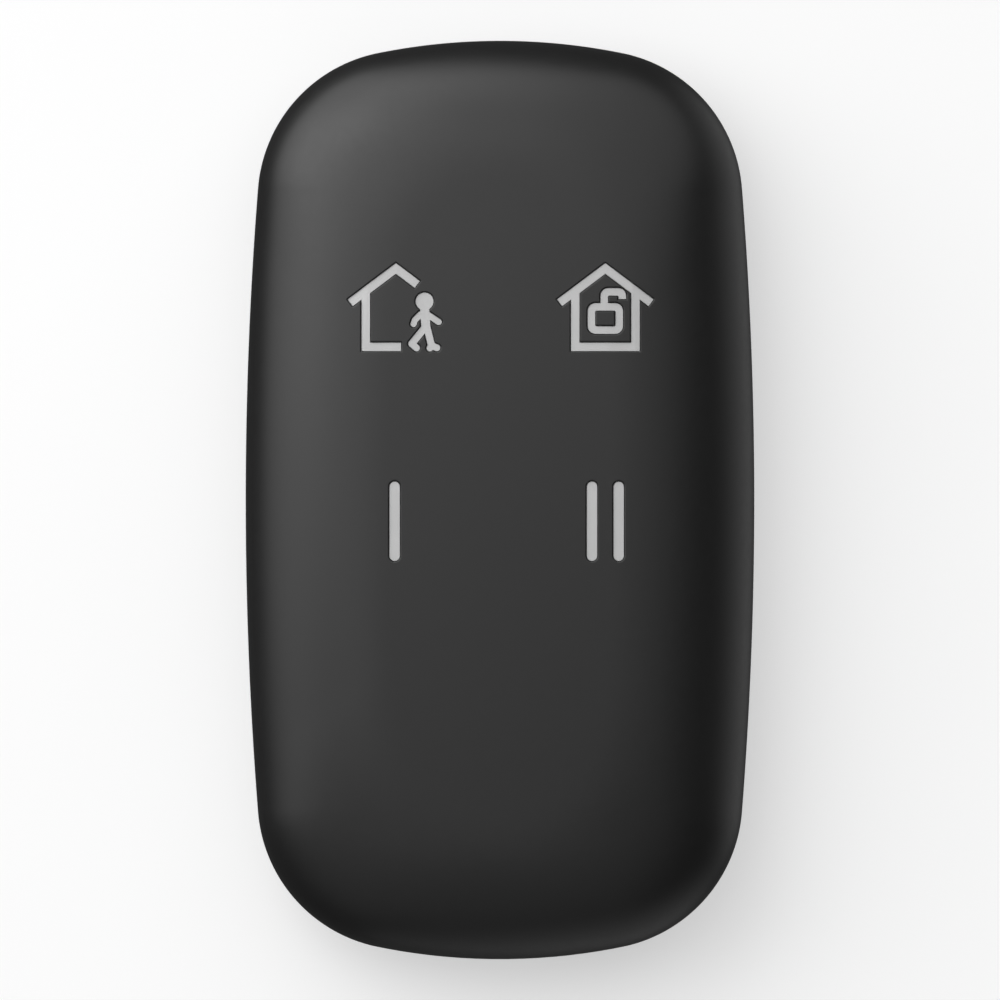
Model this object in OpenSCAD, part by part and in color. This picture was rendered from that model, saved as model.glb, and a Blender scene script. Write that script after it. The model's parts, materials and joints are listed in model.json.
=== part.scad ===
// Alarm key fob: a soft-skinned hand transmitter with four flush keys, a coin cell behind a
// turn-to-open cap, and a key ring pin in a notch at its lower end.
// Millimetres. The origin is the middle of the flat rear face, +X points to the right of the
// front, +Y to its upper end and +Z out of the front.

/* [Case outline] */
// Width of the case at its parting line
case_width = 36; // [34:0.5:42]
// Length of the case at its parting line
case_length = 65; // [62:0.5:76]
// Plan radius of each long side
side_radius = 280; // [160:10:400]
// Plan radius of each end
end_radius = 43.5; // [36:0.5:60]
// Plan radius of each corner
corner_radius = 10.6; // [9:0.1:13]
// Depth of the rear half, from the rear face to the parting line
rear_depth = 5.2; // [4.9:0.1:6.5]
// Height of the front half, from the parting line to the crown
front_depth = 7.3; // [6.8:0.1:9]
// Width over which the front edge rolls over
front_edge = 10.2; // [8:0.1:12]
// Width over which the rear edge rolls under
rear_edge = 5; // [3:0.1:6]
// Fullness of the rolled edges
edge_power = 2.4; // [2:0.1:3]
// Fall of the front face from its middle to each side
crown_across = 0.5; // [0:0.1:1]
// Fall of the front face from its middle to each end
crown_along = 1.1; // [0:0.1:1.5]

/* [Walls] */
// Thickness of the soft front skin
skin_wall = 1; // [0.8:0.1:1.3]
// Thickness of the hard shell under the skin
shell_wall = 1.2; // [1:0.1:1.5]
// Thickness of the rear shell
rear_wall = 1.4; // [1.2:0.1:1.6]
// Height of the shadow gap at the parting line
parting_gap = 0.2; // [0.1:0.05:0.4]
// Reach of the front shell's lip into the rear shell
lip_height = 0.8; // [0.4:0.1:1]
// Gap between the lip and the rear shell's wall
lip_clearance = 0.25; // [0.2:0.05:0.35]

/* [Keys] */
// Spacing of the key columns
key_pitch_across = 14.86; // [13:0.1:16]
// Spacing of the key rows
key_pitch_along = 15.1; // [13:0.1:17]
// Distance of the upper key row from the middle of the case
key_row = 13.6; // [12:0.1:15]
// Diameter of each key's pad in the skin
pad_diameter = 10.8; // [10:0.1:12]
// Gap round each pad
pad_clearance = 0.1; // [0.06:0.02:0.2]
// Gap between each key's insert and the hard shell
insert_clearance = 0.3; // [0.2:0.05:0.5]
// Height of the inserts' undersides above the board
insert_lift = 2.2; // [2.1:0.1:2.5]
// Diameter of the nib under each insert
nib_diameter = 2.6; // [2:0.1:4]
// Travel of each key
key_travel = 0.4; // [0.2:0.05:0.45]

/* [Key symbols] */
// Depth of the symbols below the skin's surface
symbol_recess = 0.1; // [0.05:0.05:0.4]
// Height of each house symbol
house_height = 6.2; // [5.6:0.1:6.8]
// Width of each house over its walls
house_width = 4.84; // [4.6:0.02:5.4]
// Width of a whole roof over its eaves
roof_width = 6.8; // [6:0.1:7.4]
// Pitch of the roofs in degrees
roof_pitch = 36.9; // [33:0.1:40]
// Width of the house lines
house_stroke = 0.59; // [0.45:0.01:0.7]
// Distance of the open house's ridge to the right of its key's middle
house_shift = 0.09; // [0:0.01:0.3]
// Reach of the left house's open roof to the right of its ridge
open_roof = 1.68; // [1.2:0.02:2]
// Reach of the left house's open floor to the right of its ridge
open_floor = 0.36; // [0:0.02:0.6]
// Width of the padlock's lines
lock_stroke = 0.52; // [0.4:0.02:0.6]
// Width of the padlock's body
lock_width = 2.48; // [2.2:0.04:2.8]
// Height of the padlock's body
lock_height = 2.16; // [1.9:0.04:2.4]
// Width of the padlock's bow
bow_width = 1.8; // [1.5:0.05:2]
// Rise of the padlock's bow above its body
bow_rise = 1.06; // [0.9:0.02:1.2]
// Length of the bow's free leg
bow_leg = 0.77; // [0.6:0.01:0.85]
// Height of the walking figure
figure_height = 4.06; // [3.6:0.02:4.4]
// Diameter of the walking figure's head
head_diameter = 1.25; // [1:0.05:1.4]
// Width of the walking figure's trunk
trunk_width = 0.64; // [0.5:0.02:0.7]
// Width of the walking figure's legs
leg_width = 0.5; // [0.4:0.01:0.58]
// Length of the plain bars
bar_length = 5.6; // [5:0.02:6.4]
// Width of the plain bars
bar_width = 0.72; // [0.6:0.02:0.9]
// Spacing of the double bars
bar_pitch = 1.88; // [1.4:0.02:2.4]

/* [Circuit board] */
// Height of the board's underside above the parting line
board_rise = 0.8; // [0.4:0.1:1.2]
// Thickness of the board
board_thickness = 1; // [0.8:0.1:1.2]
// Distance of the board's edge from the case outline
board_inset = 4; // [3.5:0.1:4.6]
// Diameter of the posts that hold the board
post_diameter = 2.4; // [2:0.1:3]
// Diameter of the pins that locate the board
locator_diameter = 1.4; // [1:0.1:1.6]
// Width of each square key switch
switch_width = 4.5; // [4:0.1:5.2]
// Height of each key switch, without its stem
switch_height = 1.2; // [1:0.1:1.4]
// Thickness of the switches' metal covers
cover_sheet = 0.15; // [0.1:0.05:0.2]
// Thickness of the switches' floors
switch_floor = 0.3; // [0.2:0.05:0.35]
// Diameter of each switch stem
stem_diameter = 2.2; // [1.8:0.1:2.6]
// Rise of each stem above its switch
stem_rise = 0.5; // [0.46:0.02:0.6]
// Running gap round each stem
stem_clearance = 0.05; // [0.03:0.01:0.1]
// Width of the microcontroller
controller_width = 5; // [4:0.5:6]
// Width of the radio chip
radio_width = 4; // [3:0.5:5]
// Height of both chips
chip_height = 0.9; // [0.7:0.05:1.1]
// Length of the crystal
crystal_length = 3.2; // [2.6:0.1:3.6]
// Width of the crystal
crystal_width = 2.5; // [2:0.1:2.8]
// Height of the crystal
crystal_height = 0.7; // [0.5:0.05:0.9]
// Length of the status lamp
lamp_length = 2; // [1.6:0.1:2.4]
// Width of the status lamp
lamp_width = 1.2; // [0.8:0.1:1.4]
// Height of the status lamp
lamp_height = 0.8; // [0.6:0.05:1]
// Length of each capacitor and resistor
bit_length = 1.6; // [1:0.1:1.7]
// Width of each capacitor and resistor, and height of each capacitor
bit_width = 0.8; // [0.5:0.05:0.9]
// Height of each resistor
resistor_height = 0.5; // [0.3:0.05:0.6]
// Spacing of the capacitors and resistors
bit_pitch = 1.5; // [1.2:0.1:1.8]
// Gap between a chip and the capacitors and resistors beside it
bit_gap = 0.6; // [0.4:0.05:0.62]
// Width of the antenna strip
antenna_width = 0.8; // [0.6:0.1:1]
// Height of the antenna strip above the board
antenna_height = 1.2; // [0.8:0.1:1.4]
// Distance of the antenna strip from the case outline
antenna_inset = 8.4; // [8.3:0.1:9]

/* [Battery] */
// Diameter of the coin cell
cell_diameter = 20; // [16:0.5:20.5]
// Height of the coin cell
cell_height = 3.2; // [2.9:0.1:3.4]
// Distance of the cell's axis below the middle of the case
cell_offset = 8.5; // [7:0.1:9]
// Gap between the cell and the cap's collar
cell_clearance = 0.3; // [0.25:0.05:0.4]
// Depth of the cap's face below the rear face
cap_sink = 0.1; // [0.05:0.05:0.3]
// Thickness of the cap's disc
cap_thickness = 1.4; // [1.2:0.1:1.6]
// Width of the cap's rim outside its collar
cap_rim = 1.4; // [1.2:0.1:1.6]
// Chamfer of the cap's rim, its bay's mouth and the screw holes
mouth_chamfer = 0.25; // [0.1:0.05:0.35]
// Gap round the cap
cap_clearance = 0.15; // [0.1:0.01:0.25]
// Wall of the cap's collar
collar_wall = 0.7; // [0.6:0.05:0.8]
// Height of the seal under the cap's rim
seal_height = 0.8; // [0.6:0.05:0.9]
// Width of the seal
seal_width = 0.9; // [0.7:0.05:1]
// Thickness of the ledge that holds the cap
ledge_thickness = 0.8; // [0.7:0.05:0.9]
// Thickness of the cap's tabs
tab_thickness = 0.75; // [0.6:0.05:0.8]
// Angle that each tab covers in degrees
tab_angle = 30; // [20:1:34]
// Turn that opens the cap in degrees
cap_turn = 60; // [46:1:70]
// Wall of the battery bay
bay_wall = 1.1; // [0.9:0.1:1.3]
// Length of the coin slot
slot_length = 13; // [9:0.5:15]
// Width of the coin slot
slot_width = 2.2; // [1.8:0.1:2.6]
// Depth of the coin slot
slot_depth = 0.8; // [0.5:0.1:1]
// Diameter of the dots that mark the cap's two places
dot_diameter = 1.2; // [0.8:0.1:1.4]
// Depth of the dots
dot_depth = 0.3; // [0.2:0.05:0.5]
// Thickness of the sheet-metal battery contacts
contact_sheet = 0.2; // [0.15:0.05:0.25]
// Width of the battery contacts
contact_width = 3; // [2:0.1:4]

/* [Key ring notch] */
// Width of the notch
notch_width = 8; // [6:0.5:9]
// Thickness of the roof and inner wall of the notch
notch_wall = 0.6; // [0.5:0.05:0.8]
// Clear space between the pin and the notch's inner wall
ring_gap = 4.5; // [4.2:0.1:4.8]
// Diameter of the key ring pin
pin_diameter = 1.8; // [1.5:0.1:2]
// Distance of the pin's axis from the lower end of the case
pin_setback = 3; // [2.8:0.1:3.4]
// Height of the pin's axis above the rear face
pin_height = 1.8; // [1.7:0.05:2.1]
// Length of pin held in each cheek of the notch
pin_seat = 2.2; // [1.6:0.1:2.4]

/* [Screws] */
// Distance of each case screw from the side of the case
screw_from_side = 7.5; // [7:0.1:8]
// Distance of each case screw from the end of the case
screw_from_end = 8.5; // [8:0.1:9]
// Diameter of the screw heads
screw_head = 3.4; // [3:0.1:3.8]
// Height of the screw heads
screw_head_height = 1.2; // [1:0.1:1.4]
// Diameter of the screw shanks
screw_shank = 1.6; // [1.4:0.1:1.8]
// Length of the screws under the head
screw_length = 6; // [5:0.25:6.5]
// Depth of the screw heads below the rear face
screw_sink = 0.4; // [0.2:0.1:0.6]
// Gap round the screw heads
screw_clearance = 0.2; // [0.1:0.05:0.3]
// Thickness of the rear shell under the screw heads
screw_seat = 1.3; // [1:0.1:1.6]
// Wall of the screw posts and bosses
boss_wall = 0.9; // [0.7:0.05:1.1]
// Across the flats of the screws' hexagon sockets
socket_width = 1.5; // [1.2:0.1:1.8]
// Depth of the screws' sockets
socket_depth = 0.7; // [0.5:0.05:0.9]

/* [Hidden] */
$fn = 64;

// Steps along each quarter of the outline, and across the rolled edges and the flat of the front
side_steps = 5;
corner_steps = 9;
end_steps = 4;
roll_steps = 8;
flat_steps = 3;
// How far a cutting solid runs past the surface that it cuts
over = 1;
// Gap between fixed pieces that only touch
touch = 0.02;
// The least corner radius that the front's rolled edge leaves
least_corner = 0.2;
front_roll = min(front_edge, corner_radius - least_corner);

// Levels, from the rear face upwards
part_z = rear_depth;
rear_top = part_z - parting_gap;
front_top = part_z + front_depth;
board_z = part_z + board_rise;
board_top = board_z + board_thickness;
switch_top = board_top + switch_height;
stem_top = switch_top + stem_rise;
insert_z = board_top + insert_lift;
cap_top = cap_sink + cap_thickness;
ledge_z = cap_top + seal_height;
ledge_top = ledge_z + ledge_thickness;
tab_z = ledge_top + touch;
collar_top = tab_z + tab_thickness;
cell_z = cap_top + touch;
cell_top = cell_z + cell_height;
head_top = screw_sink + screw_head_height;
boss_z = head_top + screw_seat;
screw_tip = head_top + screw_length;
notch_top = rear_top - notch_wall;

// Radii and turns of the cap and its bay
cell_radius = cell_diameter / 2;
collar_in = cell_radius + cell_clearance;
collar_out = collar_in + collar_wall;
cap_radius = collar_out + cap_rim;
tab_radius = cap_radius - cap_clearance;
ledge_radius = collar_out + cap_clearance;
bay_radius = cap_radius + cap_clearance;
bay_out = bay_radius + bay_wall;
tab_turns = [30, 150, 270];
gate_spare = 6;
mark_turn = 90;

// Radii of the keys, screws and posts
pad_radius = pad_diameter / 2;
head_radius = screw_head / 2;
shank_radius = screw_shank / 2;
boss_radius = shank_radius + boss_wall;
screw_post_radius = head_radius + screw_clearance + boss_wall;
pin_radius = pin_diameter / 2;
boss_gap = 0.4;

// Places on the plan
key_x = key_pitch_across / 2;
key_y = key_row - key_pitch_along;
away_place = [-key_x, key_row];
disarm_place = [key_x, key_row];
one_place = [-key_x, key_y];
two_place = [key_x, key_y];
key_places = [away_place, disarm_place, one_place, two_place];
cell_place = [0, -cell_offset];
screw_places = [for (x = [-1, 1], y = [-1, 1])
    [x * (case_width / 2 - screw_from_side), y * (case_length / 2 - screw_from_end)]];
locator_from_side = 13;
locator_from_end = 7.2;
locator_places = [for (side = [-1, 1])
    [side * (case_width / 2 - locator_from_side), case_length / 2 - locator_from_end]];
upper_hold = 6;
lower_hold = 12.5;
hold_places = [
    [0, case_length / 2 - upper_hold],
    [0, key_row - key_pitch_along / 2],
    [0, lower_hold - case_length / 2]
];
pin_y = pin_setback - case_length / 2;
notch_end = pin_y + pin_radius + ring_gap;
cheek_reach = notch_width / 2 + pin_seat + notch_wall;

// Places on the board: the radio's pieces keep with the upper end, the rest with the keys
radio_from_end = 13.5;
crystal_from_end = 11.9;
crystal_from_side = 13;
antenna_gap = 2.25;
lamp_gap = 0.6;
controller_drop = 9.5;
radio_place = [0, case_length / 2 - radio_from_end];
crystal_place = [case_width / 2 - crystal_from_side, case_length / 2 - crystal_from_end];
antenna_from = key_row + switch_width / 2 + antenna_gap;
lamp_place = [key_x - (switch_width + lamp_width) / 2 - lamp_gap, key_row];
controller_place = [0, key_y - controller_drop];

// Circle centres of the outline's side, end and corner arcs, and the angles where they meet
side_centre = [case_width / 2 - side_radius, 0];
end_centre = [0, case_length / 2 - end_radius];
corner_centre = circles_meet(
    side_centre, side_radius - corner_radius,
    end_centre, end_radius - corner_radius);
side_angle = heading(corner_centre - side_centre);
end_angle = heading(corner_centre - end_centre);

function heading(v) = atan2(v.y, v.x);

// The upper point that lies at distance r from p and at distance s from q
function circles_meet(p, r, q, s) =
    let (gap = norm(q - p), along = (r * r - s * s + gap * gap) / (2 * gap), u = (q - p) / gap)
    p + along * u + sqrt(r * r - along * along) * [-u.y, u.x];

function arc(centre, radius, from, to, steps) =
    [for (i = [0 : steps - 1]) let (a = from + (to - from) * i / steps) centre + radius * [cos(a), sin(a)]];

// One quarter of the outline, drawn in by inset, from the right side to the upper end
function quarter(inset) = concat(
    arc(side_centre, side_radius - inset, 0, side_angle, side_steps),
    arc(corner_centre, corner_radius - inset, side_angle, end_angle, corner_steps),
    arc(end_centre, end_radius - inset, end_angle, 90, end_steps),
    [[0, case_length / 2 - inset]]);

// The whole outline, drawn in by inset, anticlockwise
function outline(inset) =
    let (q = quarter(inset), last = len(q) - 1)
    concat(
        [for (i = [0 : last - 1]) q[i]],
        [for (i = [last : -1 : 1]) [-q[i].x, q[i].y]],
        [for (i = [0 : last - 1]) -q[i]],
        [for (i = [last : -1 : 1]) [q[i].x, -q[i].y]]);

// Rise of a rolled edge, from 0 at its rim to 1 at its inner border, for s from 0 to 1
function roll(s) = sqrt(1 - pow(1 - s, edge_power));
function roll_share(i) = 1 - cos(90 * i / roll_steps);

function crown(p) = front_depth
    - crown_across * pow(2 * p.x / case_width, 2)
    - crown_along * pow(2 * p.y / case_length, 2);

// Height above the rear face of the front surface that lies sink below the outside
function front_z(p, sink, rise) = part_z + (crown(p) - sink) * rise;

// Rings of that surface, from its rim inwards, without its middle point
function front_rings(sink) = concat(
    [for (i = [0 : roll_steps])
        let (s = roll_share(i))
        [for (p = outline(sink + s * (front_roll - sink))) [p.x, p.y, front_z(p, sink, roll(s))]]],
    [for (i = [1 : flat_steps - 1])
        let (k = 1 - i / flat_steps)
        [for (p = outline(front_roll)) [k * p.x, k * p.y, front_z(k * p, sink, 1)]]]);

function flat_ring(inset, z) = [for (p = outline(inset)) [p.x, p.y, z]];

// A closed solid through rings of equal length, from the lowest up, ending in a flat lid or in a peak
module loft(rings, peak) {
    n = len(rings[0]);
    m = len(rings);
    points = concat([for (r = rings) each r], is_undef(peak) ? [] : [peak]);
    sides = [for (k = [0 : m - 2], j = [0 : n - 1])
        let (a = k * n + j, b = k * n + (j + 1) % n) each [[a, a + n, b + n], [a, b + n, b]]];
    floor_face = [[for (j = [0 : n - 1]) j]];
    lid = is_undef(peak)
        ? [[for (j = [n - 1 : -1 : 0]) (m - 1) * n + j]]
        : [for (j = [0 : n - 1]) [(m - 1) * n + j, m * n, (m - 1) * n + (j + 1) % n]];
    polyhedron(points, concat(floor_face, sides, lid));
}

// All that lies under the front surface that is sink below the outside, down to the level base
module front_dome(sink, base) {
    rim = base < part_z ? [flat_ring(sink, base)] : [];
    loft(concat(rim, front_rings(sink)), [0, 0, front_z([0, 0], sink, 1)]);
}

// All that lies above the rear surface that is sink inside the outside, up to the level top
module rear_bowl(sink, top) {
    rings = [for (i = [roll_steps : -1 : 0])
        let (s = roll_share(i))
        flat_ring(sink + s * (rear_edge - sink), sink + (rear_top - sink) * (1 - roll(s)))];
    loft(concat(rings, top > rear_top ? [flat_ring(sink, top)] : []));
}

module plan(inset) {
    polygon(outline(inset));
}

module at(place, z = 0) {
    translate([place.x, place.y, z]) children();
}

module at_all(places, z = 0) {
    for (place = places) at(place, z) children();
}

// A ring between two radii, from one level to another
module ring(inner, outer, from, to) {
    rotate_extrude() translate([inner, from]) square([outer - inner, to - from]);
}

// The part of such a ring that covers an angle about a turn
module ring_part(inner, outer, from, to, turn, angle) {
    rotate(turn - angle / 2) rotate_extrude(angle = angle)
        translate([inner, from]) square([outer - inner, to - from]);
}

// A straight line with round ends, as a polygon
module stroke(from, to, width) {
    turn = heading(to - from);
    ends = 8;
    bow = [for (i = [0 : ends]) let (a = turn + 90 - 180 * i / ends) width / 2 * [cos(a), sin(a)]];
    polygon(concat([for (b = bow) to + b], [for (b = bow) from - b]));
}

// A bent strip of sheet metal: the path gives distance along Y and height, and it is wide along X
module strip(path, sheet, width) {
    rotate([90, 0, 90]) translate([0, 0, -width / 2]) linear_extrude(width)
        for (i = [1 : len(path) - 1]) stroke(path[i - 1], path[i], sheet);
}

// A box of the given size about the origin, with corners of the given radius
module round_box(size, corner) {
    turns = 5;
    polygon([for (q = [0 : 3], i = [0 : turns])
        let (a = 90 * (q + i / turns), side = [q == 0 || q == 3 ? 1 : -1, q < 2 ? 1 : -1])
        [side.x * (size.x / 2 - corner), side.y * (size.y / 2 - corner)] + corner * [cos(a), sin(a)]]);
}

// House about its ridge line: its roof reaches out by left and right, its floor ends at floor_right
module house(left, right, floor_right) {
    top = house_height / 2;
    slope = tan(roof_pitch);
    eave = house_stroke * [sin(roof_pitch), -cos(roof_pitch)];
    left_eave = [-left, top - left * slope];
    right_eave = [right, top - right * slope];
    polygon([[0, top], left_eave, left_eave + eave, [0, top - house_stroke / cos(roof_pitch)],
        right_eave + [-eave.x, eave.y], right_eave]);
    wall = house_height - house_width / 2 * slope - house_stroke / 2;
    translate([-house_width / 2, -top]) {
        square([house_stroke, wall]);
        square([house_width / 2 + floor_right, house_stroke]);
        if (floor_right == house_width / 2)
            translate([house_width - house_stroke, 0]) square([house_stroke, wall]);
    }
}

// Walking figure with the middle of its head at the origin, its joints placed by shares of its height
module walker() {
    neck = figure_height * [0, -0.123];
    hips = figure_height * [[0.005, -0.456], [0.04, -0.44]];
    shoulders = figure_height * [[-0.074, -0.227], [0.059, -0.232]];
    elbow = figure_height * [-0.17, -0.325];
    hands = figure_height * [[-0.19, -0.392], [0.246, -0.357]];
    heels = figure_height * [[-0.222, -0.735], [0.12, -0.765]];
    left_toe = figure_height * [-0.139, -0.808];
    right_sole = figure_height * [0.093, -0.81];
    right_toe = figure_height * [0.216, -0.805];
    arm_share = 0.86;
    foot_share = 0.95;
    arm_width = arm_share * leg_width;
    foot_width = foot_share * leg_width;
    circle(d = head_diameter, $fn = 32);
    stroke(neck, (hips[0] + hips[1]) / 2, trunk_width);
    stroke(shoulders[0], elbow, arm_width);
    stroke(elbow, hands[0], arm_width);
    stroke(shoulders[1], hands[1], arm_width);
    for (i = [0, 1]) stroke(hips[i], heels[i], leg_width);
    stroke(heels[0], left_toe, foot_width);
    stroke(heels[1], right_sole, foot_width);
    stroke(heels[1], right_toe, foot_width);
}

// Open padlock with the middle of its body at the origin
module padlock() {
    body_corner = lock_width * 0.218;
    hole_corner = lock_width * 0.048;
    bow_shift = lock_width * 0.226;
    line = 2 * lock_stroke * [1, 1];
    difference() {
        round_box([lock_width, lock_height], body_corner);
        round_box([lock_width, lock_height] - line, hole_corner);
    }
    translate([bow_shift, lock_height / 2]) difference() {
        round_box([bow_width, 2 * bow_rise], body_corner);
        round_box([bow_width, 2 * bow_rise] - line, hole_corner);
        translate([-bow_width, -2 * bow_rise]) square([2 * bow_width, 2 * bow_rise - lock_stroke / 2]);
        translate([0, -bow_rise]) square([bow_width, 2 * bow_rise - bow_leg]);
    }
}

module away_symbol() {
    walker_place = house_width * [0.436, 0.083];
    translate([house_shift, 0]) house(roof_width / 2, open_roof, open_floor);
    translate(walker_place) walker();
}

module disarm_symbol() {
    lock_drop = house_height * 0.129;
    house(roof_width / 2, roof_width / 2, house_width / 2);
    translate([0, -lock_drop]) padlock();
}

module one_symbol() {
    reach = (bar_length - bar_width) / 2;
    stroke([0, -reach], [0, reach], bar_width);
}

module two_symbol() {
    for (side = [-1, 1]) translate([side * bar_pitch / 2, 0]) one_symbol();
}

// Soft skin over the whole front, with a window for each key's pad
module front_skin() {
    color("dimgray") difference() {
        front_dome(0, part_z);
        front_dome(skin_wall, part_z - over);
        at_all(key_places, part_z) cylinder(r = pad_radius + pad_clearance, h = front_depth + over);
    }
}

// The key's share of the skin, with its symbol cut out of it
module key_pad(place) {
    color("dimgray") difference() {
        intersection() {
            at(place, part_z) cylinder(r = pad_radius, h = front_depth + over);
            front_dome(0, part_z);
        }
        front_dome(skin_wall, part_z - over);
        at(place, part_z) linear_extrude(front_depth + over) children();
    }
}

// Pale plug under the pad, whose raised symbol fills the cut and whose nib presses the switch
module key_insert(place) {
    nib_root = insert_lift / 4;
    color("gainsboro") union() {
        intersection() {
            at(place, insert_z) cylinder(r = pad_radius, h = front_top - insert_z);
            front_dome(skin_wall, part_z);
        }
        intersection() {
            at(place, insert_z + nib_root) linear_extrude(front_top - insert_z) children();
            front_dome(symbol_recess, part_z);
        }
        at(place, stem_top) cylinder(d = nib_diameter, h = insert_z + nib_root - stem_top);
    }
}

// Hard shell under the skin: its lip, its screw bosses and the posts that hold the board down
module front_shell() {
    shell_in = skin_wall + shell_wall;
    lip_z = rear_top - lip_height;
    color("darkslategray") difference() {
        union() {
            difference() {
                front_dome(skin_wall, rear_top);
                front_dome(shell_in, rear_top - over);
            }
            translate([0, 0, lip_z]) linear_extrude(part_z - lip_z) difference() {
                plan(rear_wall + lip_clearance);
                plan(shell_in);
            }
            intersection() {
                union() {
                    at_all(screw_places, boss_z) cylinder(r = boss_radius, h = front_top - boss_z);
                    at_all(hold_places, board_top) cylinder(d = post_diameter, h = front_top - board_top);
                }
                front_dome(skin_wall + shell_wall / 2, boss_z - over);
            }
        }
        at_all(key_places, board_top) cylinder(r = pad_radius + insert_clearance, h = front_top - board_top);
        at_all(screw_places, boss_z - over)
            cylinder(r = shank_radius + touch, h = screw_tip + over - boss_z + touch);
        translate([-cheek_reach - lip_clearance, -case_length / 2, lip_z - over])
            cube([2 * (cheek_reach + lip_clearance), notch_end + case_length / 2, rear_top - lip_z + over]);
    }
}

// Chamfer to cut round a hole in the rear face
module mouth(radius) {
    translate([0, 0, -over])
        cylinder(r1 = radius + mouth_chamfer + over, r2 = radius, h = mouth_chamfer + over);
}

// Hard rear half: battery bay with its ledge and gates, screw posts, locating pins and key ring notch
module rear_shell() {
    locator_rise = 0.5;
    color("dimgray") difference() {
        union() {
            difference() {
                rear_bowl(0, rear_top);
                rear_bowl(rear_wall, rear_top + over);
            }
            intersection() {
                rear_bowl(rear_wall / 2, board_top + over);
                union() {
                    at(cell_place) cylinder(r = bay_out, h = board_z);
                    at_all(screw_places) cylinder(r = screw_post_radius, h = boss_z);
                    at_all(locator_places) cylinder(d = post_diameter, h = board_z);
                    at_all(locator_places) cylinder(d = locator_diameter, h = board_top + locator_rise);
                    translate([-cheek_reach, -case_length / 2, 0])
                        cube([2 * cheek_reach, notch_end + notch_wall + case_length / 2, rear_top]);
                }
            }
        }
        at(cell_place) {
            translate([0, 0, -over]) cylinder(r = bay_radius, h = ledge_z + over);
            mouth(bay_radius);
            translate([0, 0, ledge_z - over]) cylinder(r = ledge_radius, h = ledge_thickness + 2 * over);
            translate([0, 0, ledge_top]) cylinder(r = bay_radius, h = board_z + over - ledge_top);
            for (turn = tab_turns)
                ring_part(ledge_radius - over, bay_radius, ledge_z - over, ledge_top + over,
                    turn - cap_turn, tab_angle + gate_spare);
            for (turn = [mark_turn, mark_turn - cap_turn])
                rotate(turn) translate([bay_out + touch, 0, -over])
                    cylinder(d = dot_diameter, h = over + dot_depth);
        }
        at_all(screw_places, -over) cylinder(r = head_radius + screw_clearance, h = head_top + over);
        at_all(screw_places) mouth(head_radius + screw_clearance);
        at_all(screw_places) cylinder(r = shank_radius + screw_clearance, h = boss_z + over);
        translate([-notch_width / 2, -case_length / 2 - over, -over])
            cube([notch_width, notch_end + case_length / 2 + over, notch_top + over]);
        translate([-notch_width / 2 - pin_seat - touch, pin_y, pin_height]) rotate([0, 90, 0])
            cylinder(r = pin_radius + touch, h = notch_width + 2 * (pin_seat + touch));
    }
}

// Turn-to-open cap: coin slot and mark outside, collar and tabs inside
module battery_cap() {
    slot_half = (slot_length - slot_width) / 2;
    root = 0.5;
    color("dimgray") at(cell_place) difference() {
        union() {
            rotate_extrude() polygon([
                [0, cap_sink], [cap_radius - mouth_chamfer, cap_sink],
                [cap_radius, cap_sink + mouth_chamfer], [cap_radius, cap_top], [0, cap_top]]);
            ring(collar_in, collar_out, cap_top - root, collar_top);
            for (turn = tab_turns)
                ring_part(collar_out - collar_wall / 2, tab_radius, tab_z, collar_top, turn, tab_angle);
        }
        translate([0, 0, cap_sink - over]) {
            translate([-slot_half, -slot_width / 2, 0]) cube([2 * slot_half, slot_width, slot_depth + over]);
            for (side = [-1, 1])
                translate([side * slot_half, 0, 0]) cylinder(d = slot_width, h = slot_depth + over);
            rotate(mark_turn) translate([collar_out, 0, 0]) cylinder(d = dot_diameter, h = dot_depth + over);
        }
    }
}

module cap_seal() {
    color("black") at(cell_place)
        ring(collar_out + touch, collar_out + seal_width, cap_top, ledge_z - touch);
}

module keyring_pin() {
    length = notch_width + 2 * pin_seat;
    color("silver") translate([-length / 2, pin_y, pin_height]) rotate([0, 90, 0])
        cylinder(r = pin_radius, h = length);
}

module case_screws() {
    color("gray") at_all(screw_places) difference() {
        union() {
            translate([0, 0, screw_sink]) cylinder(r = head_radius, h = screw_head_height);
            translate([0, 0, head_top]) cylinder(r = shank_radius, h = screw_length);
        }
        translate([0, 0, screw_sink - over])
            cylinder(d = socket_width / cos(30), h = socket_depth + over, $fn = 6);
    }
}

module switch_stem(place) {
    spare = 0.1;
    bottom = board_top + switch_floor + key_travel + spare;
    color("black") at(place, bottom) cylinder(d = stem_diameter, h = stem_top - bottom);
}

module switch_bodies() {
    height = switch_height - cover_sheet;
    color("black") at_all(key_places, board_top) difference() {
        translate([-switch_width / 2, -switch_width / 2, 0]) cube([switch_width, switch_width, height]);
        translate([0, 0, switch_floor]) cylinder(d = stem_diameter + 2 * stem_clearance, h = switch_height);
    }
}

// Folded sheet over each switch, with a flap down two sides
module switch_covers() {
    flap = switch_height / 2;
    width = switch_width + 2 * cover_sheet;
    depth = switch_width * 0.8;
    color("silver") at_all(key_places, switch_top) difference() {
        translate([-width / 2, -depth / 2, -flap]) cube([width, depth, flap]);
        translate([-switch_width / 2, -switch_width / 2, -flap - over])
            cube([switch_width, switch_width, flap + over - cover_sheet]);
        translate([0, 0, -over]) cylinder(d = stem_diameter + 4 * stem_clearance, h = 2 * over);
    }
}

module circuit_board() {
    color("darkgreen") translate([0, 0, board_z]) linear_extrude(board_thickness) difference() {
        plan(board_inset);
        for (place = screw_places) translate(place) circle(r = boss_radius + boss_gap);
        for (place = locator_places) translate(place) circle(d = locator_diameter + 2 * touch);
    }
}

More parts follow.
